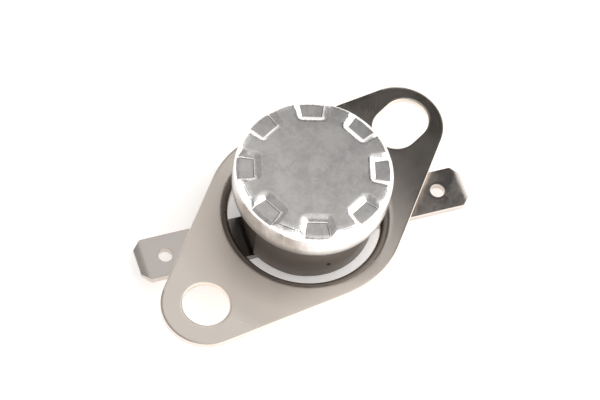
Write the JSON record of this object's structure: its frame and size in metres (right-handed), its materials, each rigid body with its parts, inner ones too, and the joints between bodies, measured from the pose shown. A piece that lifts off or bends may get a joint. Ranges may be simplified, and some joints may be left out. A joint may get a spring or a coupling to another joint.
{
  "type": "snap-disc thermal cut-out",
  "caption": "Round bimetal snap-disc thermal cut-out with a coined metal cap, moulded base, flat blades and a loose swivelling bracket with one round and one slotted hole.",
  "frame": {"origin": "on the body's axis, in the plane of the two rivet heads that it stands on", "axes": "+Z along the body's axis towards the cap's face, +X along the bracket towards its slotted hole"},
  "size_m": [0.0388, 0.0208, 0.0127],
  "materials": {
    "cap": "satin, fine scratches",
    "disc": "rolled bimetal strip",
    "guide": "moulded",
    "pin": "unglazed",
    "base": "moulded phenolic, semi-gloss",
    "arm": "rolled copper alloy",
    "contact": "silver",
    "plate": "rolled",
    "terminal": "plated, satin",
    "rivet": "turned",
    "washer": "plated",
    "bracket": "plated, satin"
  },
  "bodies": {
    "housing": {"cap": "cap", "bimetal_disc": "disc", "disc_guide": "guide", "base": "base", "spring_arm": "arm", "fixed_contact": "contact", "fixed_plate": "plate", "left_terminal": "terminal", "right_terminal": "terminal", "left_rivet": "rivet", "right_rivet": "rivet", "left_washer": "washer", "right_washer": "washer"},
    "swivel_bracket": {"bracket": "bracket"},
    "pin": {"push_pin": "pin"},
    "contact": {"moving_contact": "contact"}
  },
  "joints": [
    {"name": "bracket_swivel", "type": "hinge", "parent": "housing", "child": "swivel_bracket", "pos_m": [0, 0, 0.0037], "axis": [0, 0, 1], "continuous": true},
    {"name": "pin_travel", "type": "slide", "parent": "housing", "child": "pin", "axis": [0, 0, -1], "range_m": [0, 0.0005], "stiffness_N_per_m": 100, "deforming": ["spring_arm", "bimetal_disc"]},
    {"name": "contact_travel", "type": "slide", "parent": "housing", "child": "contact", "axis": [0, 0, -1], "range_m": [0, 0.0008]}
  ],
  "couplings": [
    {"joint": "contact_travel", "follows": "pin_travel", "ratio": 1.5375}
  ]
}
